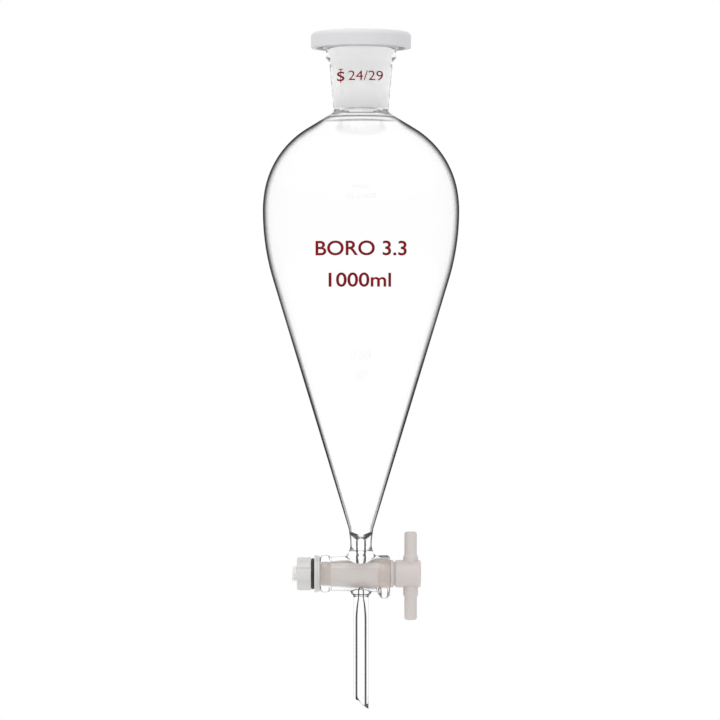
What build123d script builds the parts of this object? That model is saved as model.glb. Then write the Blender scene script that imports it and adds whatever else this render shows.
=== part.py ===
from build123d import *
from math import acos, atan2, cos, degrees, radians, sin, tan
import os

# Separatory funnel, 1000 ml: a pear-shaped bulb with a 24/29 ground socket and a hollow stopper on
# top, and below it a stopcock with a tapered plug, a T-handle and a bevelled delivery stem.
# Millimetres, Z up. The origin is on the funnel's axis, level with the lowest point of the stem.
# The stopcock's axis is parallel to X: the handle is at +X and the retaining nut at -X.

# --- Ground socket and stopper: a 1:10 taper, 29 mm long, from 24 mm down to 21.1 mm ---
TAPER = 0.05                    # rise of the radius for each mm along a 1:10 cone
GROUND_LENGTH = 29.0
GROUND_TOP_R = 12.0
NECK_SEAL_Z = 357.1             # lower end of the ground zone, where the neck is sealed to the bulb
GROUND_TOP_Z = NECK_SEAL_Z + GROUND_LENGTH
GROUND_BOTTOM_R = GROUND_TOP_R - TAPER * GROUND_LENGTH
RIM_Z = 392.7
RIM_R = 20.9
RIM_BASE_Z = 386.8
NECK_TOP_R = 19.0
NECK_TOP_Z = 384.6
NECK_BOTTOM_R = 16.4
MOUTH_R = 13.6
CONE_FIT = 0.05                 # radial clearance of each tapered plug in its socket

CAP_R = 29.8
CAP_THICKNESS = 9.6
CAP_ROUNDING = 2.6
CAP_GAP = 0.1                   # the stopper stands on its cone, so its cap just clears the rim
CAP_Z = RIM_Z + CAP_GAP
STOPPER_END_Z = 354.2
STOPPER_WALL = 1.9
CAP_RECESS_R = 26.4             # the cap is cored from below between its skirt and its hub
CAP_HUB_R = 22.6
CAP_FLOOR = 3.0

# --- Bulb: arcs up and down from the equator, then a straight cone to the outlet ---
EQUATOR_Z = 296.2
EQUATOR_R = 58.4
BULB_WALL = 1.8
UPPER_RADIUS, UPPER_TURN = 68.9, 9.7
CROWN_RADIUS = 54.4
SHOULDER_TURN = 49.0            # the shoulder leaves this arc about 31 degrees above the horizontal
BELLY_RADIUS = 140.8
CONE_ANGLE = 16.9
OUTLET_Z = 110.0
OUTLET_R = 8.05
OUTLET_LEAN = 9.5               # degrees by which the outlet still narrows downwards
FLOOR_TOP_Z = 106.0
FLOOR_BEND_R, FLOOR_BEND = 4.0, 31.0        # inside: a steep floor down to the drain's bore
DRAIN_SEAL_Z = 100.2
DRAIN_R = 6.4

# --- Stopcock, along X at this height ---
COCK_Z = 80.4
PLUG_R = 6.15                   # radius of the barrel's tapered bore in line with the funnel's axis
BORE_R = 2.0
BARREL_LEFT, BARREL_RIGHT = -24.3, 17.3
BARREL_LEFT_R, BARREL_RIGHT_R = 10.0, 11.2
BEAD_LEFT_R, BEAD_RIGHT_R = 11.1, 12.7
BEAD_LEFT_WIDTH, BEAD_RIGHT_WIDTH = 5.0, 7.4
BEAD_SAG = 2.1                  # the soft right-hand bead set this much below the barrel's axis
DRAIN_FOOT_R = 8.8
DRAIN_FOOT_Z = 91.1
DRAIN_FOOT_LEAN = 40.0          # degrees from the vertical at which the drain tube's foot ends

# --- Delivery stem ---
STEM_R = 4.5
STEM_BORE_R = 2.2
STEM_TOP_BORE_R = 1.2           # drawn in where the stem is sealed to the barrel
STEM_TOP_Z = 66.4               # the outside is straight below this height
STEM_BORE_Z = 52.0              # the bore is straight below this height
STEM_DRAW_R = 98.5              # radius of the long curve by which the bore narrows
STEM_FOOT_R, STEM_FOOT_TURN = 2.2, 75.0     # fillet where the stem spreads on the barrel
BEVEL_RISE = 7.2                # the tip is cut at a slant, lowest at +X

# --- Plug, from its threaded end to its head ---
FACE_GAP = 0.08                 # running clearance between the plug's faces and the glass
THREAD_END = -40.9
THREAD_START = -27.7
THREAD_PITCH = 1.5
THREAD_R = 4.7
THREAD_ROOT_R = 3.85
THREAD_FOOT, THREAD_TIP = 0.36, 0.08        # half widths of the ridge, as shares of the pitch
THREAD_FIT = 0.12               # clearance of the nut's thread on every side
KEY_HALF = 3.9                  # half the distance across the flats that key the washer
COLLAR_R = 8.2
COLLAR_END = 19.0
NOTCH_X, NOTCH_R = 19.9, 6.7
HEAD_START, HEAD_END = 20.7, 35.6
HEAD_R = 8.2
HANDLE_X = 29.5
HANDLE_DROP = 1.2               # the bar sits a little low in the head
HANDLE_ROOT_R, HANDLE_R = 4.45, 3.75
HANDLE_HALF = 26.3
HANDLE_ROOT_HALF = 11.3
HANDLE_SHOULDER = 1.6

# --- Washer, O-ring and nut on the plug's threaded end ---
WASHER_R = 11.1
WASHER_RIM, WASHER_STEP = 1.6, 0.5          # its outer rim's width, and how much less its hub is
KEY_FIT = 0.05
RING_LEFT = -29.6
RING_R, RING_BORE_R = 9.25, 5.1
NUT_LEFT = -38.1
NUT_R = 9.8
NUT_GAP = 0.05                  # the nut just touches the O-ring
FLUTES = 8
FLUTE_R = 1.9
FLUTE_DEPTH = 0.75
FLUTE_PHASE = 18.0              # the first flute's angle above the horizontal, seen from -Y


class Outline:
    """Lines and arcs in the XZ plane, each leaving in the direction in which the last arrived."""

    def __init__(self, u, v, heading):
        self.u, self.v, self.heading = u, v, radians(heading)
        self.edges = []

    def point(self):
        return Vector(self.u, 0, self.v)

    def line_to(self, u, v):
        start = self.point()
        self.u, self.v = u, v
        self.edges.append(Edge.make_line(start, self.point()))
        return self

    def arc(self, radius, turn):
        """Turn by an angle in degrees, to the left if it is positive."""
        start, signed = self.point(), radius if turn > 0 else -radius
        begin, u, v = self.heading, self.u, self.v

        def along(share):
            angle = begin + radians(turn) * share
            return u + signed * (sin(angle) - sin(begin)), v + signed * (cos(begin) - cos(angle))

        half = along(0.5)
        self.u, self.v = along(1.0)
        self.heading = begin + radians(turn)
        self.edges.append(Edge.make_three_point_arc(start, Vector(half[0], 0, half[1]), self.point()))
        return self

    def blend_to(self, u, v, heading):
        """Go straight on, then along one arc that arrives at a point with a given heading."""
        a, b = self.heading, radians(heading)
        across, up = u - self.u, v - self.v
        share = 1 - cos(b - a)
        length = (across * (cos(a) - cos(b)) - up * (sin(b) - sin(a))) / share
        radius = (cos(a) * up - sin(a) * across) / share
        self.line_to(self.u + length * cos(a), self.v + length * sin(a))
        return self.arc(abs(radius), degrees(b - a))


def profile(*corners):
    """A closed face in the XZ plane from its corners, each with the radius that rounds it off."""
    face = Face(Wire.make_polygon([Vector(u, 0, v) for u, v, _ in corners], close=True))
    for u, v, rounding in corners:
        if rounding:
            corner = face.vertices().sort_by_distance(Vector(u, 0, v))[0]
            face = face.fillet_2d(rounding, [corner])
    return face


def turned(face):
    """A body of revolution about the funnel's axis."""
    return revolve(face, axis=Axis.Z)


def turned_level(face):
    """A body of revolution about the stopcock's axis."""
    return Pos(0, 0, COCK_Z) * revolve(face, axis=Axis.X)


def upright(radius, bottom, top, x=0.0):
    """A vertical cylinder between two heights."""
    return Pos(x, 0, bottom) * Cylinder(radius, top - bottom, align=(Align.CENTER, Align.CENTER, Align.MIN))


def level(radius, left, right):
    """A cylinder on the stopcock's axis between two places along X."""
    rod = Cylinder(radius, right - left, align=(Align.CENTER, Align.CENTER, Align.MIN))
    return Pos(left, 0, COCK_Z) * Rot(0, 90, 0) * rod


# --- Glass ---

def bulb_side(inset, neck_r, neck_heading):
    """Outlines from the equator up to the axis above, and down to the outlet, inset by the wall."""
    up = Outline(EQUATOR_R - inset, EQUATOR_Z, 90)
    up.arc(UPPER_RADIUS - inset, UPPER_TURN).arc(CROWN_RADIUS - inset, SHOULDER_TURN)
    up.blend_to(neck_r, NECK_SEAL_Z, neck_heading)
    up.line_to(0, NECK_SEAL_Z)
    down = Outline(EQUATOR_R - inset, EQUATOR_Z, -90)
    down.arc(BELLY_RADIUS - inset, -CONE_ANGLE).blend_to(OUTLET_R - inset, OUTLET_Z, -90 - OUTLET_LEAN)
    return up, down


def bulb():
    """The pear-shaped bulb, from the seal under the socket to the seal above the drain tube."""
    neck_heading = degrees(atan2(NECK_TOP_Z - NECK_SEAL_Z, NECK_TOP_R - NECK_BOTTOM_R))
    up, down = bulb_side(0, NECK_BOTTOM_R, neck_heading)
    down.line_to(DRAIN_R, DRAIN_SEAL_Z).line_to(0, DRAIN_SEAL_Z).line_to(0, NECK_SEAL_Z)
    outside = Face(Wire(up.edges + down.edges))
    up, down = bulb_side(BULB_WALL, GROUND_BOTTOM_R, degrees(atan2(1, TAPER)))
    floor_r = OUTLET_R - BULB_WALL - (OUTLET_Z - FLOOR_TOP_Z) * tan(radians(OUTLET_LEAN))
    down.line_to(floor_r, FLOOR_TOP_Z).arc(FLOOR_BEND_R, -FLOOR_BEND).blend_to(BORE_R, DRAIN_SEAL_Z, -90)
    down.line_to(0, DRAIN_SEAL_Z).line_to(0, NECK_SEAL_Z)
    inside = Face(Wire(up.edges + down.edges))
    return turned(outside) - turned(inside)


def neck_socket():
    """The heavy-walled socket with its ground bore and its thickened rim."""
    return turned(profile(
        (GROUND_BOTTOM_R, NECK_SEAL_Z, 0),
        (NECK_BOTTOM_R, NECK_SEAL_Z, 0),
        (NECK_TOP_R, NECK_TOP_Z, 1.2),
        (RIM_R, RIM_BASE_Z, 1.0),
        (RIM_R, RIM_Z, 1.5),
        (MOUTH_R, RIM_Z, 1.2),
        (GROUND_TOP_R, GROUND_TOP_Z, 0),
    ))


def barrel_outside():
    """The stopcock barrel without its bores: a tapered tube with a bead round each mouth."""
    left_neck = BARREL_LEFT + BEAD_LEFT_WIDTH
    tube = turned_level(profile(
        (BARREL_LEFT, 0, 0),
        (BARREL_LEFT, BEAD_LEFT_R, 2.0),
        (left_neck, BEAD_LEFT_R, 2.0),
        (left_neck + 1.0, BARREL_LEFT_R, 1.0),
        (BARREL_RIGHT, BARREL_RIGHT_R, 2.0),
        (BARREL_RIGHT, 0, 0),
    ))
    bead_left = BARREL_RIGHT - BEAD_RIGHT_WIDTH
    bead = turned_level(profile(
        (bead_left, 0, 0),
        (bead_left, BEAD_RIGHT_R - 3.0, 0),
        (bead_left + 2.2, BEAD_RIGHT_R, 1.8),
        (BARREL_RIGHT, BEAD_RIGHT_R, 3.0),
        (BARREL_RIGHT, 0, 0),
    ))
    return tube + Pos(0, 0, -BEAD_SAG) * bead


def taper_face(left, right, inset, end_gap=0.0):
    """Half the section of the stopcock's 1:10 cone, inset from the barrel's bore."""
    left, right = left - end_gap, right + end_gap
    return profile(
        (left, 0, 0),
        (left, PLUG_R + TAPER * left - inset, 0),
        (right, PLUG_R + TAPER * right - inset, 0),
        (right, 0, 0),
    )


def stopcock_barrel():
    """The barrel with its tapered bore and the holes that meet the drain tube and the stem."""
    cone = turned_level(taper_face(BARREL_LEFT, BARREL_RIGHT, 0, end_gap=1.0))
    inlet = upright(BORE_R, COCK_Z, COCK_Z + 2 * PLUG_R)
    outlet = upright(STEM_TOP_BORE_R, COCK_Z - 2 * PLUG_R, COCK_Z)
    return barrel_outside() - cone - inlet - outlet


def drain_tube():
    """The thick-walled tube between the bulb and the barrel, spread into a foot on the barrel."""
    outside = Outline(DRAIN_R, DRAIN_SEAL_Z, -90)
    outside.blend_to(DRAIN_FOOT_R, DRAIN_FOOT_Z, DRAIN_FOOT_LEAN - 90)
    outside.line_to(DRAIN_FOOT_R, COCK_Z).line_to(BORE_R, COCK_Z)
    outside.line_to(BORE_R, DRAIN_SEAL_Z).line_to(DRAIN_R, DRAIN_SEAL_Z)
    return turned(Face(Wire(outside.edges))) - barrel_outside()


def delivery_stem():
    """The stem, spread where it meets the barrel and cut at a slant at its tip."""
    draw_turn = degrees(acos(1 - (STEM_BORE_R - STEM_TOP_BORE_R) / STEM_DRAW_R))
    bore = Outline(STEM_BORE_R, 0, 90)
    bore.line_to(STEM_BORE_R, STEM_BORE_Z).arc(STEM_DRAW_R, draw_turn).line_to(STEM_TOP_BORE_R, COCK_Z)
    outside = Outline(STEM_BORE_R, 0, 90)
    outside.line_to(STEM_R, 0).line_to(STEM_R, STEM_TOP_Z).arc(STEM_FOOT_R, -STEM_FOOT_TURN)
    outside.line_to(outside.u, COCK_Z).line_to(STEM_TOP_BORE_R, COCK_Z)
    tube = turned(Face(Wire(bore.edges + outside.edges))) - barrel_outside()
    below_tip = profile((-STEM_R - 1, BEVEL_RISE * (1 + 0.5 / STEM_R), 0), (STEM_R, 0, 0),
                        (STEM_R, -1, 0), (-STEM_R - 1, -1, 0))
    return tube - extrude(below_tip, amount=2 * STEM_R, both=True)


# --- Stopper ---

def stopper():
    """A hollow moulded stopper: a tapered shell, open below, under a broad cap cored from below."""
    end_r = GROUND_BOTTOM_R - TAPER * (NECK_SEAL_Z - STOPPER_END_Z) - CONE_FIT
    shell = profile(
        (0, STOPPER_END_Z, 0),
        (end_r, STOPPER_END_Z, 0.6),
        (end_r + TAPER * (CAP_Z + 1 - STOPPER_END_Z), CAP_Z + 1, 0),
        (0, CAP_Z + 1, 0),
    )
    cap = profile(
        (0, CAP_Z, 0),
        (CAP_R, CAP_Z, 0.6),
        (CAP_R, CAP_Z + CAP_THICKNESS, CAP_ROUNDING),
        (0, CAP_Z + CAP_THICKNESS, 0),
    )
    hollow_top = CAP_Z + CAP_THICKNESS - CAP_FLOOR
    hollow_r = end_r - STOPPER_WALL
    hollow = profile(
        (0, STOPPER_END_Z - 1, 0),
        (hollow_r - TAPER, STOPPER_END_Z - 1, 0),
        (hollow_r + TAPER * (hollow_top - STOPPER_END_Z), hollow_top, 1.5),
        (0, hollow_top, 0),
    )
    recess = profile(
        (CAP_HUB_R, CAP_Z - 1, 0),
        (CAP_RECESS_R, CAP_Z - 1, 0),
        (CAP_RECESS_R, hollow_top, 1.0),
        (CAP_HUB_R, hollow_top, 1.0),
    )
    return turned(cap) + turned(shell) - turned(hollow) - turned(recess)


# --- Plug and handle ---

def thread(grow):
    """The plug's threaded end with its right-hand thread, every surface moved out by grow."""
    length = THREAD_START - THREAD_END + 2 * THREAD_PITCH
    root, crest = THREAD_ROOT_R + grow, THREAD_R + grow
    path = Helix(THREAD_PITCH, length, root - 0.1)
    foot, tip = THREAD_FOOT * THREAD_PITCH + grow, THREAD_TIP * THREAD_PITCH + grow
    tooth = Face(Wire.make_polygon([
        Vector(root - 0.2, 0, -foot), Vector(crest, 0, -tip),
        Vector(crest, 0, tip), Vector(root - 0.2, 0, foot),
    ], close=True))
    ridge = sweep(tooth, path=path, is_frenet=True)
    rod = upright(root, -THREAD_PITCH, length + THREAD_PITCH)
    return Pos(THREAD_END - THREAD_PITCH, 0, COCK_Z) * Rot(0, 90, 0) * (rod + ridge)


def plug_body():
    """The plug's turned shape, without its bores."""
    key_r = PLUG_R + TAPER * BARREL_LEFT - CONE_FIT - 0.15
    return turned_level(profile(
        (THREAD_START, 0, 0),
        (THREAD_START, key_r, 0.2),
        (BARREL_LEFT - FACE_GAP, key_r, 0),
        (BARREL_LEFT - FACE_GAP, key_r + 0.15, 0),
        (BARREL_RIGHT + FACE_GAP, PLUG_R + TAPER * BARREL_RIGHT - CONE_FIT, 0),
        (BARREL_RIGHT + FACE_GAP, COLLAR_R, 0.4),
        (COLLAR_END, COLLAR_R, 0.4),
        (NOTCH_X, NOTCH_R, 0.2),
        (HEAD_START, HEAD_R, 0.8),
        (HEAD_END, HEAD_R, 1.4),
        (HEAD_END, 0, 0),
    ))


def stopcock_plug():
    """The tapered plug: cross bore, keyed and threaded small end, and a head bored for the handle."""
    flats = Pos((THREAD_START + BARREL_LEFT - FACE_GAP) / 2, 0, COCK_Z) * Box(
        BARREL_LEFT - FACE_GAP - THREAD_START, 40, 2 * KEY_HALF)
    keyed_zone = level(HEAD_R, THREAD_START, BARREL_LEFT - FACE_GAP)
    body = plug_body() - (keyed_zone - flats)
    screw = thread(0) & level(HEAD_R, THREAD_END, THREAD_START)
    cross_bore = upright(BORE_R, COCK_Z - HEAD_R, COCK_Z + HEAD_R)
    handle_hole = upright(HANDLE_ROOT_R, COCK_Z - 2 * HEAD_R, COCK_Z + 2 * HEAD_R, HANDLE_X)
    return body + screw - cross_bore - handle_hole


def handle_bar():
    """The handle's bar, pressed through the plug's head, with a thicker middle."""
    half = profile(
        (0, 0, 0),
        (HANDLE_ROOT_R, 0, 0),
        (HANDLE_ROOT_R, HANDLE_ROOT_HALF, 0.4),
        (HANDLE_R, HANDLE_ROOT_HALF + HANDLE_SHOULDER, 0.4),
        (HANDLE_R, HANDLE_HALF, 1.6),
        (0, HANDLE_HALF, 0),
    )
    upper = revolve(half, axis=Axis.Z)
    return Pos(HANDLE_X, 0, COCK_Z - HANDLE_DROP) * (upper + mirror(upper, about=Plane.XY))


# --- Washer, O-ring and nut ---

def washer():
    """The washer between the glass and the O-ring, keyed to the plug by two flats."""
    ring = turned_level(profile(
        (THREAD_START, 0, 0),
        (THREAD_START, WASHER_R, 0.3),
        (THREAD_START + WASHER_RIM, WASHER_R, 0.3),
        (THREAD_START + WASHER_RIM + 0.3, WASHER_R - WASHER_STEP, 0),
        (BARREL_LEFT - FACE_GAP, WASHER_R - WASHER_STEP, 0.4),
        (BARREL_LEFT - FACE_GAP, 0, 0),
    ))
    plug_r = PLUG_R + TAPER * BARREL_LEFT
    middle = (THREAD_START + BARREL_LEFT) / 2
    flats = Pos(middle, 0, COCK_Z) * Box(20, 40, 2 * (KEY_HALF + KEY_FIT))
    return ring - (level(plug_r, THREAD_START - 1, BARREL_LEFT + 1) & flats)


def o_ring():
    """The rubber ring that the nut presses against the washer."""
    return turned_level(profile(
        (RING_LEFT, RING_BORE_R, 0.5),
        (RING_LEFT, RING_R, 0.8),
        (THREAD_START - NUT_GAP, RING_R, 0.8),
        (THREAD_START - NUT_GAP, RING_BORE_R, 0.5),
    ))


def retaining_nut():
    """The round nut with finger flutes, cut with the thread that runs on the plug."""
    right = RING_LEFT - NUT_GAP
    body = turned_level(profile(
        (NUT_LEFT, 0, 0),
        (NUT_LEFT, NUT_R, 1.2),
        (right, NUT_R, 0.5),
        (right, 0, 0),
    ))
    for number in range(FLUTES):
        angle = radians(FLUTE_PHASE + 360 / FLUTES * number)
        reach = NUT_R + FLUTE_R - FLUTE_DEPTH
        body -= Pos(0, -reach * cos(angle), reach * sin(angle)) * level(FLUTE_R, NUT_LEFT - 1, right + 1)
    return body - thread(THREAD_FIT)


NODES = {
    "neck_socket": neck_socket,
    "bulb": bulb,
    "drain_tube": drain_tube,
    "stopcock_barrel": stopcock_barrel,
    "delivery_stem": delivery_stem,
    "stopper": stopper,
    "stopcock_plug": stopcock_plug,
    "handle_bar": handle_bar,
    "washer": washer,
    "o_ring": o_ring,
    "retaining_nut": retaining_nut,
}

os.makedirs("parts", exist_ok=True)
for name, build in NODES.items():
    shape = build()
    shape.label = name
    export_step(shape, f"parts/{name}.step")
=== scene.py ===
import math

import bmesh
import bpy
from mathutils import Matrix, Vector


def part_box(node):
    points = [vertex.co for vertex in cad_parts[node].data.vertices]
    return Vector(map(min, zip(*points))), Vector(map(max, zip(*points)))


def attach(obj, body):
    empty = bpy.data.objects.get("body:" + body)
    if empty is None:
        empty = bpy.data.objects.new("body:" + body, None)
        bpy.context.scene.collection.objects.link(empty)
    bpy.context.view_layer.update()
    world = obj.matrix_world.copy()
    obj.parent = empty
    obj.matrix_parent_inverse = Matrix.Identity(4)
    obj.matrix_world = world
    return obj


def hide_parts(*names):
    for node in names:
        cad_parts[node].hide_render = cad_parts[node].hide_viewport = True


# A clear glass separatory funnel that hangs free against a white background. Outlines are in
# millimetres on the funnel's own axes and are scaled to metres when they become meshes.

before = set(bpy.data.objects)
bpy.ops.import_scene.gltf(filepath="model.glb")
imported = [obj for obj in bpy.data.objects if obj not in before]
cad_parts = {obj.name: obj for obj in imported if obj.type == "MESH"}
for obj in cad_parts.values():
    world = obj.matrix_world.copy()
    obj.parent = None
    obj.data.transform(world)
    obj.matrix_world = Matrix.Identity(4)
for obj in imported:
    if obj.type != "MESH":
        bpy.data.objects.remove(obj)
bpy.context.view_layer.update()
MM = 0.001

# --- Camera ---
CAMERA_X, CAMERA_DISTANCE, CAMERA_Z = -0.0006, 2.367, 0.2075
LENS = 199.0
LIGHT_BOUNCES = 24              # enough to get through all the walls of glass

# --- Heights that the frame gives, in millimetres ---
RIM_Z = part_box("neck_socket")[1].z / MM
NECK_SEAL_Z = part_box("neck_socket")[0].z / MM
DRAIN_SEAL_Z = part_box("bulb")[0].z / MM
EQUATOR_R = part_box("bulb")[1].x / MM
BARREL_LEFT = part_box("stopcock_barrel")[0].x / MM
BARREL_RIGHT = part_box("stopcock_barrel")[1].x / MM
COCK_Z = (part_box("stopcock_plug")[0].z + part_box("stopcock_plug")[1].z) / 2 / MM

# --- Glass ---
TAPER = 0.05
GROUND_TOP_R, GROUND_LENGTH = 12.0, 29.0
GROUND_BOTTOM_R = GROUND_TOP_R - TAPER * GROUND_LENGTH
GROUND_TOP_Z = NECK_SEAL_Z + GROUND_LENGTH
RIM_R, RIM_BASE_Z = 20.9, 386.8
NECK_TOP_R, NECK_TOP_Z, NECK_BOTTOM_R = 19.0, 384.6, 16.4
MOUTH_R, LIP_ROUNDING = 13.6, 1.2
EQUATOR_Z = 296.2
BULB_WALL = 1.8
UPPER_RADIUS, UPPER_TURN = 68.9, 9.7
CROWN_RADIUS, SHOULDER_TURN = 54.4, 49.0
BELLY_RADIUS, CONE_ANGLE = 140.8, 16.9
OUTLET_Z, OUTLET_R, OUTLET_LEAN = 110.0, 8.05, 9.5
FLOOR_TOP_Z, FLOOR_BEND_R, FLOOR_BEND = 106.0, 4.0, 31.0
DRAIN_R, BORE_R = 6.4, 2.0
DRAIN_FOOT_R, DRAIN_FOOT_Z, DRAIN_FOOT_LEAN = 8.8, 91.1, 40.0
PLUG_R = 6.15
SEAT_IOR = 1.05                 # the plug wets its seat, so it looks broader through the barrel
BARREL_LEFT_R, BARREL_RIGHT_R = 10.0, 11.2
BEAD_LEFT_R, BEAD_RIGHT_R = 11.1, 12.7
BEAD_LEFT_WIDTH, BEAD_RIGHT_WIDTH, BEAD_SAG = 5.0, 7.4, 2.1
STEM_R, STEM_BORE_R, STEM_TOP_BORE_R = 4.5, 2.2, 1.2
STEM_TOP_Z, STEM_BORE_Z, STEM_DRAW_R = 66.4, 52.0, 98.5
STEM_FOOT_R, STEM_FOOT_TURN = 2.2, 75.0
BEVEL_RISE = 7.2

BURIED = 0.15                   # how far one part's end is sunk into the next before they are joined
ROUND_SIDES = 160               # sides of each turned surface
LUMP_VOXEL = 0.36               # millimetres: the grid on which the stopcock's glass is blended
LUMP_SMOOTHING = 9
SHARP_ANGLE = 35.0              # degrees: flatter edges than this are shaded smooth


# --- Outlines ---

class Pen:
    """Points along lines and arcs, each leaving in the direction in which the last arrived."""

    def __init__(self, u, v, heading):
        self.u, self.v, self.heading = u, v, math.radians(heading)
        self.points = [(u, v)]

    def line_to(self, u, v):
        self.u, self.v = u, v
        self.points.append((u, v))
        return self

    def arc(self, radius, turn, step=2.5):
        signed = math.copysign(radius, turn)
        begin, u, v = self.heading, self.u, self.v
        count = max(2, math.ceil(abs(turn) / step))
        for number in range(1, count + 1):
            angle = begin + math.radians(turn) * number / count
            self.line_to(u + signed * (math.sin(angle) - math.sin(begin)),
                         v + signed * (math.cos(begin) - math.cos(angle)))
        self.heading = begin + math.radians(turn)
        return self

    def blend_to(self, u, v, heading):
        """Go straight on, then along one arc that arrives at a point with a given heading."""
        a, b = self.heading, math.radians(heading)
        across, up = u - self.u, v - self.v
        share = 1 - math.cos(b - a)
        length = (across * (math.cos(a) - math.cos(b)) - up * (math.sin(b) - math.sin(a))) / share
        radius = (math.cos(a) * up - math.sin(a) * across) / share
        self.line_to(self.u + length * math.cos(a), self.v + length * math.sin(a))
        return self.arc(abs(radius), math.degrees(b - a), step=1.5)


def rounded(*corners, step=12.0):
    """Points of an open outline through corners (u, v, radius), each rounded off by its radius."""
    points = [corners[0][:2]]
    for before, here, after in zip(corners, corners[1:], corners[2:]):
        corner = Vector(here[:2])
        back = (Vector(before[:2]) - corner).normalized()
        on = (Vector(after[:2]) - corner).normalized()
        opening = back.angle(on)
        if here[2] == 0 or opening > math.radians(179.5):
            points.append(here[:2])
            continue
        centre = corner + (back + on).normalized() * here[2] / math.sin(opening / 2)
        first = corner + back * here[2] / math.tan(opening / 2)
        last = corner + on * here[2] / math.tan(opening / 2)
        sweep = math.pi - opening
        count = max(2, math.ceil(math.degrees(sweep) / step))
        side = 1 if (first - centre).cross(last - centre) > 0 else -1
        for number in range(count + 1):
            spoke = (first - centre).copy()
            spoke.rotate(Matrix.Rotation(side * sweep * number / count, 2))
            points.append(tuple(centre + spoke))
    return points + [corners[-1][:2]]


def bulb_outline(inset, neck_r, neck_heading):
    """The bulb's side, inset from its outside, from the neck down; and the pen at its outlet."""
    up = Pen(EQUATOR_R - inset, EQUATOR_Z, 90)
    up.arc(UPPER_RADIUS - inset, UPPER_TURN).arc(CROWN_RADIUS - inset, SHOULDER_TURN)
    up.blend_to(neck_r, NECK_SEAL_Z, neck_heading)
    down = Pen(EQUATOR_R - inset, EQUATOR_Z, -90)
    down.arc(BELLY_RADIUS - inset, -CONE_ANGLE, step=1.5)
    down.blend_to(OUTLET_R - inset, OUTLET_Z, -90 - OUTLET_LEAN)
    return up.points[::-1], down


def bulb_outside():
    neck = rounded((0, RIM_Z, 0), (RIM_R, RIM_Z, 1.5), (RIM_R, RIM_BASE_Z, 1.0),
                   (NECK_TOP_R, NECK_TOP_Z, 1.2), (NECK_BOTTOM_R, NECK_SEAL_Z, 0))
    side, down = bulb_outline(0, NECK_BOTTOM_R, 84.7)
    down.line_to(DRAIN_R, DRAIN_SEAL_Z).line_to(DRAIN_R - BURIED, DRAIN_SEAL_Z - 5)
    return neck[:-1] + side + down.points[1:] + [(0, down.v)]


def bulb_inside():
    above = RIM_Z + 5
    lip_r = MOUTH_R + LIP_ROUNDING
    mouth = rounded((0, above, 0), (lip_r, above, 0), (lip_r, RIM_Z, 0), (MOUTH_R, RIM_Z - LIP_ROUNDING, 0),
                    (GROUND_TOP_R, GROUND_TOP_Z, 0), (GROUND_BOTTOM_R, NECK_SEAL_Z, 0))
    side, down = bulb_outline(BULB_WALL, GROUND_BOTTOM_R, 87.1)
    floor_r = OUTLET_R - BULB_WALL - (OUTLET_Z - FLOOR_TOP_Z) * math.tan(math.radians(OUTLET_LEAN))
    down.line_to(floor_r, FLOOR_TOP_Z).arc(FLOOR_BEND_R, -FLOOR_BEND, step=6)
    down.blend_to(BORE_R, DRAIN_SEAL_Z, -90)
    return mouth[:-1] + side + down.points[1:] + [(BORE_R, COCK_Z), (0, COCK_Z)]


def barrel_outline():
    left_neck = BARREL_LEFT + BEAD_LEFT_WIDTH
    return rounded(
        (BARREL_LEFT, 0, 0), (BARREL_LEFT, BEAD_LEFT_R, 2.0), (left_neck, BEAD_LEFT_R, 2.0),
        (left_neck + 1.0, BARREL_LEFT_R, 1.0), (BARREL_RIGHT, BARREL_RIGHT_R, 2.0), (BARREL_RIGHT, 0, 0))


def bead_outline():
    left = BARREL_RIGHT - BEAD_RIGHT_WIDTH
    return rounded((left, 0, 0), (left, BEAD_RIGHT_R - 3.0, 0), (left + 2.2, BEAD_RIGHT_R, 1.8),
                   (BARREL_RIGHT, BEAD_RIGHT_R, 3.0), (BARREL_RIGHT, 0, 0))


def drain_outline():
    pen = Pen(DRAIN_R - BURIED, DRAIN_SEAL_Z - 0.5, -90)
    pen.blend_to(DRAIN_FOOT_R, DRAIN_FOOT_Z, DRAIN_FOOT_LEAN - 90)
    return [(0, DRAIN_SEAL_Z - 0.5)] + pen.points + [(DRAIN_FOOT_R, COCK_Z), (0, COCK_Z)]


def stem_foot_outline():
    pen = Pen(STEM_R - BURIED, STEM_TOP_Z - 2, 90)
    pen.line_to(STEM_R - BURIED, STEM_TOP_Z).arc(STEM_FOOT_R, -STEM_FOOT_TURN, step=8)
    return [(0, STEM_TOP_Z - 2)] + pen.points + [(pen.u, COCK_Z), (0, COCK_Z)]


def stem_bore_outline():
    turn = math.degrees(math.acos(1 - (STEM_BORE_R - STEM_TOP_BORE_R) / STEM_DRAW_R))
    pen = Pen(STEM_BORE_R, -2, 90)
    pen.line_to(STEM_BORE_R, STEM_BORE_Z).arc(STEM_DRAW_R, turn, step=0.6).line_to(STEM_TOP_BORE_R, COCK_Z)
    return [(0, -2)] + pen.points + [(0, COCK_Z)]


# --- Meshes ---

def stepped(outline, longest=2.0):
    """The outline with further points on its long walls, which keeps their facets short."""
    points = [outline[0]]
    for (u0, v0), (u1, v1) in zip(outline, outline[1:]):
        count = max(1, math.ceil(math.hypot(u1 - u0, v1 - v0) / longest))
        points += [(u0 + (u1 - u0) * n / count, v0 + (v1 - v0) * n / count) for n in range(1, count + 1)]
    return points


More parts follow.
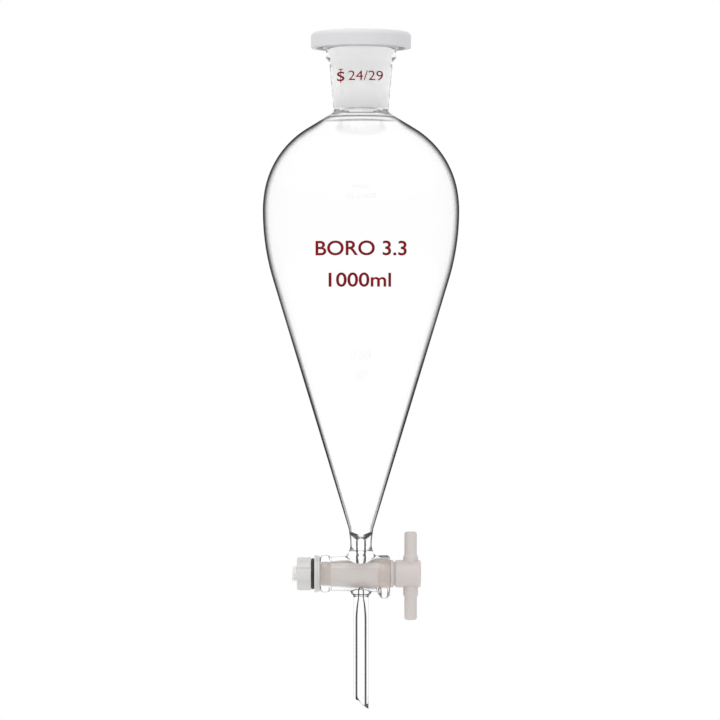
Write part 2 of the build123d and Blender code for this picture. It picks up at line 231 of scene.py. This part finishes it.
def lathe(name, outline, level=False, sag=0.0, sides=ROUND_SIDES):
    """A closed turned surface, about the funnel's axis or, if level, about the stopcock's."""
    mesh = bmesh.new()
    rings = []
    for u, v in stepped(outline):
        along, radius = (u, v) if level else (v, u)
        count = 1 if radius < 1e-6 else sides
        ring = []
        for number in range(count):
            angle = 2 * math.pi * number / sides
            across, up = radius * math.cos(angle), radius * math.sin(angle)
            spot = (along, across, COCK_Z - sag + up) if level else (across, up, along)
            ring.append(mesh.verts.new(Vector(spot) * MM))
        rings.append(ring)
    for one, two in zip(rings, rings[1:]):
        if len(one) == len(two) == 1:
            continue
        for number in range(sides):
            after = (number + 1) % sides
            corners = [one[number % len(one)], one[after % len(one)],
                       two[after % len(two)], two[number % len(two)]]
            corners = list(dict.fromkeys(corners))
            if len(corners) > 2:
                mesh.faces.new(corners)
    bmesh.ops.recalc_face_normals(mesh, faces=mesh.faces)
    return from_bmesh(name, mesh)


def from_bmesh(name, mesh):
    data = bpy.data.meshes.new(name)
    mesh.to_mesh(data)
    mesh.free()
    piece = bpy.data.objects.new(name, data)
    bpy.context.scene.collection.objects.link(piece)
    return piece


def apply_modifiers(piece):
    """Make the modifiers' result the piece's own mesh."""
    depsgraph = bpy.context.evaluated_depsgraph_get()
    made = bpy.data.meshes.new_from_object(piece.evaluated_get(depsgraph))
    piece.modifiers.clear()
    piece.data = made
    return piece


def combine(piece, operation, *others):
    """Join other closed pieces to this one, or cut them out of it."""
    for other in others:
        step = piece.modifiers.new("cut", "BOOLEAN")
        step.object, step.operation, step.solver = other, operation, "EXACT"
        apply_modifiers(piece)
        bpy.data.objects.remove(other)
    return piece


def joined(piece, *others):
    """One mesh that holds all the pieces' faces."""
    mesh = bmesh.new()
    for each in (piece, *others):
        mesh.from_mesh(each.data)
    for other in others:
        bpy.data.objects.remove(other)
    mesh.to_mesh(piece.data)
    mesh.free()
    return piece


def stopcock_lump():
    """The barrel, the drain tube and the top of the stem, blended as one lump of soft glass."""
    lump = joined(lathe("lump", barrel_outline(), level=True),
                  lathe("bead", bead_outline(), level=True, sag=BEAD_SAG),
                  lathe("foot", drain_outline()), lathe("stem_foot", stem_foot_outline()))
    remesh = lump.modifiers.new("blend", "REMESH")
    remesh.mode, remesh.voxel_size = "VOXEL", LUMP_VOXEL * MM
    soften = lump.modifiers.new("soften", "SMOOTH")
    soften.factor, soften.iterations = 0.5, LUMP_SMOOTHING
    return apply_modifiers(lump)


def glass_body():
    """The whole glass as one continuous mesh: the outside joined up first, then the bores cut."""
    body = lathe("glass_body", bulb_outside())
    stem_end = STEM_TOP_Z + 2
    stem = lathe("stem", [(0, -1), (STEM_R, -1), (STEM_R, stem_end), (0, stem_end)], sides=96)
    combine(body, "UNION", stopcock_lump(), stem)
    left, right = BARREL_LEFT - 1, BARREL_RIGHT + 1
    cone = lathe("cone", level=True, outline=[
        (left, 0), (left, PLUG_R + TAPER * left), (right, PLUG_R + TAPER * right), (right, 0)])
    combine(body, "DIFFERENCE", lathe("cavity", bulb_inside()),
            lathe("stem_bore", stem_bore_outline(), sides=64), cone, slanted_block())
    return body


def slanted_block():
    """What is cut away below the stem's slanted tip."""
    mesh = bmesh.new()
    slope = BEVEL_RISE / (2 * STEM_R)
    reach = 3 * STEM_R
    corners = [(x, y, z) for y in (-reach, reach)
               for x, z in ((-reach, slope * (reach + STEM_R)), (reach, slope * (STEM_R - reach)),
                            (reach, -40), (-reach, -40))]
    verts = [mesh.verts.new(Vector(corner) * MM) for corner in corners]
    for face in ((0, 1, 2, 3), (7, 6, 5, 4), (0, 4, 5, 1), (1, 5, 6, 2), (2, 6, 7, 3), (3, 7, 4, 0)):
        mesh.faces.new([verts[number] for number in face])
    bmesh.ops.recalc_face_normals(mesh, faces=mesh.faces)
    return from_bmesh("slanted_block", mesh)


# --- Materials ---

def new_material(name, colour, roughness, **sockets):
    """A material with one Principled shader, and the shader and node tree to build on."""
    material = bpy.data.materials.new(name)
    material.use_nodes = True
    tree = material.node_tree
    shader = tree.nodes["Principled BSDF"]
    shader.inputs["Base Color"].default_value = (*colour, 1)
    shader.inputs["Roughness"].default_value = roughness
    for socket, value in sockets.items():
        shader.inputs[socket.replace("_", " ")].default_value = value
    return material, tree, shader


def ramp(tree, source, stops):
    """A colour ramp on a value, from (position, grey or colour) stops."""
    node = tree.nodes.new("ShaderNodeValToRGB")
    while len(node.color_ramp.elements) < len(stops):
        node.color_ramp.elements.new(0.5)
    for element, (position, colour) in zip(node.color_ramp.elements, stops):
        element.position = position
        element.color = (*colour, 1) if isinstance(colour, tuple) else (colour, colour, colour, 1)
    tree.links.new(source, node.inputs["Fac"])
    return node.outputs["Color"]


def noise(tree, scale, detail=3.0, stretch=(1, 1, 1)):
    """Noise over the object's own coordinates, in features per metre."""
    place = tree.nodes.new("ShaderNodeTexCoord")
    mapping = tree.nodes.new("ShaderNodeMapping")
    mapping.inputs["Scale"].default_value = stretch
    node = tree.nodes.new("ShaderNodeTexNoise")
    node.inputs["Scale"].default_value = scale
    node.inputs["Detail"].default_value = detail
    tree.links.new(place.outputs["Object"], mapping.inputs["Vector"])
    tree.links.new(mapping.outputs["Vector"], node.inputs["Vector"])
    return node.outputs["Fac"]


def bump(tree, shader, source, strength, distance):
    node = tree.nodes.new("ShaderNodeBump")
    node.inputs["Strength"].default_value = strength
    node.inputs["Distance"].default_value = distance
    tree.links.new(source, node.inputs["Height"])
    tree.links.new(node.outputs["Normal"], shader.inputs["Normal"])


# Painted shade: how dark a glass surface is painted for each share of it that the surface mirrors.
# The outside is painted dark along its edges, the inside only where it mirrors the light whole.
OUTSIDE_PAINTED_SHADE = [(0.0, 0.0), (0.24, 0.0), (0.33, 0.55), (0.42, 0.9), (0.92, 0.95), (0.98, 0.75), (1.0, 0.75)]
INSIDE_PAINTED_SHADE = [(0.0, 0.0), (0.25, 0.03), (0.40, 0.20), (0.7, 0.45), (1.0, 0.60)]
SEAL_PAINTED_SHADE = [(0.0, 0.0), (0.07, 0.0), (0.13, 0.45), (0.25, 0.75), (0.9, 0.9), (0.97, 0.6), (1.0, 0.6)]
BORE_PAINTED_SHADE = [(0.0, 0.0), (0.1, 0.0), (1.0, 0.93)]
FOOT_PAINTED_SHADE = [(0.0, 0.0), (0.045, 0.0), (0.08, 0.6), (0.3, 0.9), (1.0, 0.9)]
BARREL_PAINTED_SHADE = [(0.0, 0.0), (0.12, 0.0), (0.35, 0.22), (1.0, 0.25)]
PAINTED_SHADE_FADE = 0.006               # metres over which the painted shade fades out below its top
PAINTED_CREASE_SPAN = (0.348, 0.356)    # heights in metres of the first and the last stop of the painted dark ring at the seal
# Painted shade: a dark ring painted round the glass at the seal under the neck.
PAINTED_CREASE = [(0.0, 0.0), (0.34, 0.0), (0.42, 0.75), (0.46, 0.75), (0.54, 0.06), (0.9, 0.05), (1.0, 0.0)]
SEAT_PAINTED_SHADE = [(0.0, 0.0), (0.3, 0.0), (1.0, 0.2)]


def glass_material(name, painted_shade, ior=1.474, top=None, narrow=None, painted_crease=False):
    """Clear borosilicate glass, with painted shade: a black shader mixed in draws its dark edges.

    Above top, in metres, no shade is painted any more. Narrow says how much wider the painted dark
    edge gets from one height to another, where the wall curves more tightly. Crease adds a painted
    dark ring at the seal under the neck.
    """
    material, tree, shader = new_material(name, (1, 1, 1), 0.0, Transmission_Weight=1.0, IOR=ior)
    if painted_shade:
        fresnel = tree.nodes.new("ShaderNodeFresnel")
        fresnel.inputs["IOR"].default_value = ior
        mirrored = fresnel.outputs["Fac"]
        if narrow:
            mirrored = product(tree, mirrored, along(tree, "Z", *narrow))
        painted_dark = ramp(tree, mirrored, painted_shade)
        if top:
            painted_dark = product(tree, painted_dark, along(tree, "Z", top, top - PAINTED_SHADE_FADE))
        if painted_crease:
            # Painted shade: the dark ring at the seal under the neck.
            line = ramp(tree, along(tree, "Z", *PAINTED_CREASE_SPAN), PAINTED_CREASE)
            painted_dark = arithmetic(tree, "MAXIMUM", painted_dark, line)
        # Painted shade: black, mixed in by the share above, darkens the glass where it mirrors much.
        painted_black = tree.nodes.new("ShaderNodeBsdfTransparent")
        painted_black.inputs["Color"].default_value = (0, 0, 0, 1)
        mix = tree.nodes.new("ShaderNodeMixShader")
        tree.links.new(painted_dark, mix.inputs["Fac"])
        tree.links.new(shader.outputs["BSDF"], mix.inputs[1])
        tree.links.new(painted_black.outputs["BSDF"], mix.inputs[2])
        tree.links.new(mix.outputs["Shader"], tree.nodes["Material Output"].inputs["Surface"])
    return material


def product(tree, one, two):
    return arithmetic(tree, "MULTIPLY", one, two)


def arithmetic(tree, operation, one, two):
    node = tree.nodes.new("ShaderNodeMath")
    node.operation = operation
    tree.links.new(one, node.inputs[0])
    tree.links.new(two, node.inputs[1])
    return node.outputs[0]


def multiplied(tree, one, two):
    """Two colours, one laid over the other."""
    blend = tree.nodes.new("ShaderNodeMix")
    blend.data_type, blend.blend_type = "RGBA", "MULTIPLY"
    blend.inputs["Factor"].default_value = 1.0
    tree.links.new(one, blend.inputs["A"])
    tree.links.new(two, blend.inputs["B"])
    return blend.outputs["Result"]


def along(tree, axis, start, end, first=0.0, last=1.0):
    """A value that goes from first to last between two places along the object's X, Y or Z."""
    place = tree.nodes.new("ShaderNodeTexCoord")
    split = tree.nodes.new("ShaderNodeSeparateXYZ")
    share = tree.nodes.new("ShaderNodeMapRange")
    tree.links.new(place.outputs["Object"], split.inputs[0])
    tree.links.new(split.outputs[axis], share.inputs["Value"])
    share.inputs["From Min"].default_value = start
    share.inputs["From Max"].default_value = end
    share.inputs["To Min"].default_value = first
    share.inputs["To Max"].default_value = last
    return share.outputs["Result"]


def ground_glass():
    # Painted light: the ground glass glows a little, though it is no lamp, standing in for light scattered
    # through the frosting.
    material, tree, shader = new_material("ground_glass", (0.96, 0.96, 0.96), 0.6,
                                          Transmission_Weight=0.25, IOR=1.474, Emission_Strength=0.25)
    shader.inputs["Emission Color"].default_value = (1, 0.995, 0.99, 1)
    grain = ramp(tree, noise(tree, 4000.0), [(0.3, (0.94, 0.94, 0.945)), (0.7, (0.97, 0.97, 0.975))])
    # Painted shade: the ground zone is painted darker towards its lower end.
    painted_shade_low = ramp(tree, along(tree, "Z", NECK_SEAL_Z * MM, RIM_Z * MM),
                 [(0.0, 0.72), (0.2, 0.86), (0.35, 1.0)])
    tree.links.new(multiplied(tree, grain, painted_shade_low), shader.inputs["Base Color"])
    bump(tree, shader, noise(tree, 4000.0), 0.25, 0.00004)
    return material


def polyethylene():
    """The stopper's milky plastic."""
    material, tree, shader = new_material("polyethylene", (0.70, 0.70, 0.715), 0.45,
                                          Subsurface_Weight=0.3, Subsurface_Scale=0.004)
    shader.inputs["Subsurface Radius"].default_value = (1.0, 1.0, 1.0)
    cloud = ramp(tree, noise(tree, 60.0), [(0.3, (0.69, 0.69, 0.705)), (0.7, (0.715, 0.715, 0.73))])
    tree.links.new(cloud, shader.inputs["Base Color"])
    bump(tree, shader, noise(tree, 1500.0), 0.12, 0.00005)
    return material


def ptfe():
    """Warm white fluoroplastic in bands along X: painted shade under the barrel's beads, painted light at
    the thread end and in the middle, and its own tone elsewhere.
    """
    material, tree, shader = new_material("ptfe", (0.63, 0.575, 0.55), 0.42,
                                          Subsurface_Weight=0.2, Subsurface_Scale=0.003)
    shader.inputs["Subsurface Radius"].default_value = (1.0, 0.85, 0.8)
    low, high = -0.045, 0.040
    # Painted light and shade: lighter stops at the thread end and in the middle stand against the shade of
    # the nut and the drain's foot; darker stops lie under the barrel's beads.
    stops = [(-0.0290, (0.92, 0.915, 0.90)), (-0.0270, (0.75, 0.70, 0.68)), (-0.0243, (0.80, 0.71, 0.65)),
             (-0.0190, (0.80, 0.71, 0.65)), (-0.0178, (0.93, 0.87, 0.83)), (-0.0165, (0.92, 0.86, 0.82)),
             (0.0085, (0.93, 0.86, 0.82)), (0.0096, (0.96, 0.90, 0.86)), (0.0106, (0.82, 0.72, 0.66)),
             (0.0160, (0.80, 0.70, 0.64)), (0.0180, (0.73, 0.675, 0.645)), (0.0215, (0.695, 0.64, 0.62))]
    bands_with_painted_light_and_shade = ramp(tree, along(tree, "X", low, high), [((x - low) / (high - low), tone) for x, tone in stops])
    cloud = ramp(tree, noise(tree, 90.0), [(0.3, 0.96), (0.7, 1.0)])
    tree.links.new(multiplied(tree, bands_with_painted_light_and_shade, cloud), shader.inputs["Base Color"])
    bump(tree, shader, noise(tree, 900.0, stretch=(3, 1, 1)), 0.1, 0.00005)
    return material


def moulded_plastic(name, tone):
    material, tree, shader = new_material(name, tone, 0.38)
    paler = tuple(share * 1.05 for share in tone)
    cloud = ramp(tree, noise(tree, 90.0), [(0.3, tone), (0.7, paler)])
    tree.links.new(cloud, shader.inputs["Base Color"])
    bump(tree, shader, noise(tree, 700.0, stretch=(6, 1, 1)), 0.2, 0.00006)
    return material


def black_rubber():
    material, tree, shader = new_material("black_rubber", (0.02, 0.02, 0.02), 0.55)
    dust = ramp(tree, noise(tree, 500.0), [(0.3, 0.014), (0.7, 0.03)])
    tree.links.new(dust, shader.inputs["Base Color"])
    bump(tree, shader, noise(tree, 2500.0), 0.2, 0.00004)
    return material


def red_enamel():
    material, tree, shader = new_material("red_enamel", (0.2, 0.003, 0.006), 0.5, Specular_IOR_Level=0.1)
    # Painted light: the enamel glows a little red, though it is no lamp, so that it stays red where it is
    # seen from behind through the glass.
    shader.inputs["Emission Color"].default_value = (1, 0.02, 0.04, 1)
    shader.inputs["Emission Strength"].default_value = 0.03
    cloud = ramp(tree, noise(tree, 700.0), [(0.3, (0.16, 0.002, 0.005)), (0.7, (0.22, 0.005, 0.01))])
    tree.links.new(cloud, shader.inputs["Base Color"])
    return material


def paint(piece, *materials):
    piece.data.materials.clear()
    for material in materials:
        piece.data.materials.append(material)


def shade_smooth(piece):
    piece.data.shade_smooth()
    piece.data.set_sharp_from_angle(angle=math.radians(SHARP_ANGLE))


# Zones of the glass, one material each
CLEAR, GROUND, SEAT, SEAL, BARREL, INSIDE, BORE, FOOT = range(8)
OUTSIDE_TOP, INSIDE_TOP = 0.355, 0.350      # heights in metres above which no shade is painted
EDGE_WIDENING = (0.12, 0.23, 1.9, 1.0)      # heights in metres, and the gain on the mirrored share at each
ZONE_SLACK = 0.05
RIM_CLEAR = 0.5                 # the rim is clear this far down from the top
MOUTH_FLARE = 1.7               # how much wider than the ground cone the mouth above it is
BARREL_REACH = 14.0             # from the stopcock's axis up to where the drain's foot still belongs to it
DRAIN_CLEAR_R, STEM_CLEAR_R = 7.2, 6.5      # the barrel is clear outside these
FOOT_HEIGHT = 3.7
SEAL_REACH = 3.0


def glass_materials():
    """The glass's materials, in the order of its zones."""
    return (
        glass_material("borosilicate_glass", OUTSIDE_PAINTED_SHADE,
                       top=OUTSIDE_TOP, narrow=EDGE_WIDENING, painted_crease=True),
        ground_glass(),
        glass_material("plug_seat", SEAT_PAINTED_SHADE, SEAT_IOR),
        glass_material("worked_glass", SEAL_PAINTED_SHADE),
        glass_material("barrel_glass", BARREL_PAINTED_SHADE),
        glass_material("bulb_inside", INSIDE_PAINTED_SHADE, top=INSIDE_TOP),
        glass_material("bores", BORE_PAINTED_SHADE),
        glass_material("stem_foot", FOOT_PAINTED_SHADE))


def glass_zone(centre, normal):
    """The zone of a face of the glass, from its middle in millimetres and its normal."""
    radius = math.hypot(centre.x, centre.y)
    level_r = math.hypot(centre.y, centre.z - COCK_Z)
    ground_r = GROUND_TOP_R + TAPER * (centre.z - GROUND_TOP_Z)
    clear_r = DRAIN_CLEAR_R if centre.z > COCK_Z else STEM_CLEAR_R
    if NECK_SEAL_Z < centre.z < RIM_Z - RIM_CLEAR and radius < ground_r + MOUTH_FLARE:
        return GROUND
    if abs(level_r - PLUG_R - TAPER * centre.x) < ZONE_SLACK and BARREL_LEFT < centre.x < BARREL_RIGHT:
        return SEAT
    if radius < STEM_BORE_R + ZONE_SLACK and centre.z < DRAIN_SEAL_Z:
        return BORE
    if centre.z < STEM_TOP_Z or (centre.z < COCK_Z + BARREL_REACH and radius > clear_r):
        return BARREL
    if centre.z < STEM_TOP_Z + FOOT_HEIGHT:
        return FOOT
    if centre.z < DRAIN_SEAL_Z + SEAL_REACH:
        return SEAL
    if centre.z < NECK_SEAL_Z and centre.xy.dot(normal.xy) < 0:
        return INSIDE
    return CLEAR


def finish_glass(body):
    paint(body, *glass_materials())
    for face in body.data.polygons:
        face.material_index = glass_zone(face.center / MM, face.normal)
    shade_smooth(body)
    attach(body, "glass")
    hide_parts("neck_socket", "bulb", "drain_tube", "stopcock_barrel", "delivery_stem")


# --- Printed marks ---

PRINT_PROUD = 0.04              # the enamel's foot and face above the glass, in millimetres
PRINT_THICKNESS = 0.06
PRINT_GRID = 0.8                # a mark is cut this fine, so that it can follow the glass
PRINT_WEIGHT = 0.015            # how much the letters are thickened, as a share of their size


def outside_radius(height):
    """The glass's outside radius at a height, in millimetres."""
    outline = bulb_outside()
    for (r0, z0), (r1, z1) in zip(outline[1:], outline[2:]):
        if z1 <= height <= z0 and z0 > z1:
            return r1 + (r0 - r1) * (height - z1) / (z0 - z1)
    raise ValueError("no outside at that height")


def flat_text(words, spread=0.0):
    """The mesh of a line of text, flat in the XY plane, from its first letter's foot."""
    curve = bpy.data.curves.new("words", "FONT")
    curve.body, curve.size, curve.offset = words, 1.0, spread
    curve.fill_mode = "BOTH"
    holder = bpy.data.objects.new("words", curve)
    bpy.context.scene.collection.objects.link(holder)
    depsgraph = bpy.context.evaluated_depsgraph_get()
    flat = bmesh.new()
    made = bpy.data.meshes.new_from_object(holder.evaluated_get(depsgraph))
    flat.from_mesh(made)
    bpy.data.objects.remove(holder)
    bpy.data.meshes.remove(made)
    return flat


def fit(flat, left, right, bottom, top):
    """Scale and move a flat mesh so that it fills a box in the XY plane."""
    xs = [vert.co.x for vert in flat.verts]
    ys = [vert.co.y for vert in flat.verts]
    for vert in flat.verts:
        vert.co.x = left + (vert.co.x - min(xs)) / (max(xs) - min(xs)) * (right - left)
        vert.co.y = bottom + (vert.co.y - min(ys)) / (max(ys) - min(ys)) * (top - bottom)
    return flat


def merged(flats):
    """One mesh of several flat ones."""
    whole = bmesh.new()
    for flat in flats:
        made = bpy.data.meshes.new("flat")
        flat.to_mesh(made)
        flat.free()
        whole.from_mesh(made)
        bpy.data.meshes.remove(made)
    return whole


def cut_fine(whole):
    """Cut a flat mesh along a grid, into triangles that face up."""
    for axis in (0, 1):
        low = min(vert.co[axis] for vert in whole.verts)
        high = max(vert.co[axis] for vert in whole.verts)
        normal = Vector((1 - axis, axis, 0))
        for number in range(1, int((high - low) / PRINT_GRID)):
            geometry = whole.verts[:] + whole.edges[:] + whole.faces[:]
            bmesh.ops.bisect_plane(whole, geom=geometry, plane_no=normal,
                                   plane_co=normal * (low + PRINT_GRID * number))
    bmesh.ops.triangulate(whole, faces=whole.faces[:])
    bmesh.ops.remove_doubles(whole, verts=whole.verts[:], dist=1e-5)
    for face in whole.faces:
        if face.normal.z < 0:
            face.normal_flip()


def backed(whole):
    """Give a flat mesh a back and rims. Returns the back's vertices."""
    front = whole.faces[:]
    back = bmesh.ops.duplicate(whole, geom=front)
    twin = dict(back["vert_map"].items())
    rims = [edge for face in front for edge in face.edges if len(edge.link_faces) == 1]
    for edge in dict.fromkeys(rims):
        one = edge.link_loops[0].vert
        two = edge.other_vert(one)
        whole.faces.new([two, one, twin[one], twin[two]])
    for element in back["geom"]:
        if isinstance(element, bmesh.types.BMFace):
            element.normal_flip()
    return {element for element in back["geom"] if isinstance(element, bmesh.types.BMVert)}


def printed(name, flats):
    """Enamel on the front of the glass, made from flat outlines in millimetres across and up."""
    whole = merged(flats)
    cut_fine(whole)
    lower = backed(whole)
    for vert in whole.verts:
        across, height = vert.co.x, vert.co.y
        radius = outside_radius(height) + PRINT_PROUD + (0 if vert in lower else PRINT_THICKNESS)
        vert.co = Vector((across, -math.sqrt(radius ** 2 - across ** 2), height)) * MM
    piece = from_bmesh(name, whole)
    paint(piece, ENAMEL)
    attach(piece, "glass")


def bar(left, right, bottom, top):
    flat = bmesh.new()
    flat.faces.new([flat.verts.new((x, y, 0)) for x, y in
                    ((left, bottom), (right, bottom), (right, top), (left, top))])
    return flat


# --- Set ---

FIELD_LIGHT = 0.75              # of the white field, as matt surfaces receive it
FLOOR_Z, FLOOR_R, FLOOR_THICKNESS = -260.0, 2200.0, 5.0
FLOOR_GLOW = 0.35


def by_ray(tree, socket, seen, received):
    """Drive a strength: one value as the surface is seen, another as matt surfaces receive it."""
    rays = tree.nodes.new("ShaderNodeLightPath")
    level = tree.nodes.new("ShaderNodeMapRange")
    level.inputs["To Min"].default_value = seen
    level.inputs["To Max"].default_value = received
    tree.links.new(rays.outputs["Is Diffuse Ray"], level.inputs["Value"])
    tree.links.new(level.outputs["Result"], socket)


def white_world():
    world = bpy.data.worlds.new("world")
    bpy.context.scene.world = world
    world.use_nodes = True
    background = world.node_tree.nodes["Background"]
    background.inputs["Color"].default_value = (1, 1, 1, 1)
    by_ray(world.node_tree, background.inputs["Strength"], 1.0, FIELD_LIGHT)


def floor():
    under = FLOOR_Z - FLOOR_THICKNESS
    piece = lathe("floor", [(0, FLOOR_Z), (FLOOR_R, FLOOR_Z), (FLOOR_R, under), (0, under)], sides=96)
    material, tree, shader = new_material("pale_floor", (0.92, 0.92, 0.92), 0.8)
    shader.inputs["Emission Color"].default_value = (1, 1, 1, 1)
    by_ray(tree, shader.inputs["Emission Strength"], FLOOR_GLOW, 0.0)
    paint(piece, material)


def softbox(name, azimuth, elevation, distance, size, power):
    """A square lamp that faces the middle of the funnel."""
    light = bpy.data.lights.new(name, "AREA")
    light.shape, light.size, light.energy = "SQUARE", size, power
    lamp = bpy.data.objects.new(name, light)
    a, e = math.radians(azimuth), math.radians(elevation)
    back = Vector((math.sin(a) * math.cos(e), -math.cos(a) * math.cos(e), math.sin(e)))
    lamp.location = Vector((0, 0, 0.2)) + back * distance
    lamp.rotation_mode = "QUATERNION"
    lamp.rotation_quaternion = back.to_track_quat("Z", "Y")
    bpy.context.scene.collection.objects.link(lamp)


def camera():
    data = bpy.data.cameras.new("camera")
    data.lens, data.clip_end = LENS, 100
    eye = bpy.data.objects.new("camera", data)
    eye.location = (CAMERA_X, -CAMERA_DISTANCE, CAMERA_Z)
    eye.rotation_euler = (math.radians(90), 0, 0)
    bpy.context.scene.collection.objects.link(eye)
    bpy.context.scene.camera = eye


camera()
white_world()
floor()
softbox("top_light", -25, 62, 1.6, 1.2, 9)
bpy.context.scene.view_settings.view_transform = "Standard"
bpy.context.scene.cycles.max_bounces = LIGHT_BOUNCES
bpy.context.scene.cycles.transmission_bounces = LIGHT_BOUNCES

ENAMEL = red_enamel()
finish_glass(glass_body())

PTFE = ptfe()
for node, material in (
        ("stopper", polyethylene()),
        ("stopcock_plug", PTFE),
        ("handle_bar", PTFE),
        ("washer", moulded_plastic("washer_plastic", (0.69, 0.665, 0.645))),
        ("o_ring", black_rubber()),
        ("retaining_nut", moulded_plastic("nut_plastic", (0.70, 0.69, 0.68)))):
    paint(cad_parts[node], material)

printed("print_glass_type", [fit(flat_text("BORO 3.3", PRINT_WEIGHT), -26.5, 26.6, 268.3, 276.9)])
printed("print_capacity", [fit(flat_text("1000ml", PRINT_WEIGHT), -18.9, 17.5, 250.1, 258.4)])
printed("print_joint_size", [
    fit(flat_text("24/29"), -7.5, 13.0, 372.7, 378.4),
    fit(flat_text("S", PRINT_WEIGHT), -14.2, -9.8, 372.4, 378.0),
    bar(-12.2, -11.7, 371.4, 379.3),
    bar(-13.3, -10.6, 379.0, 379.6),
])
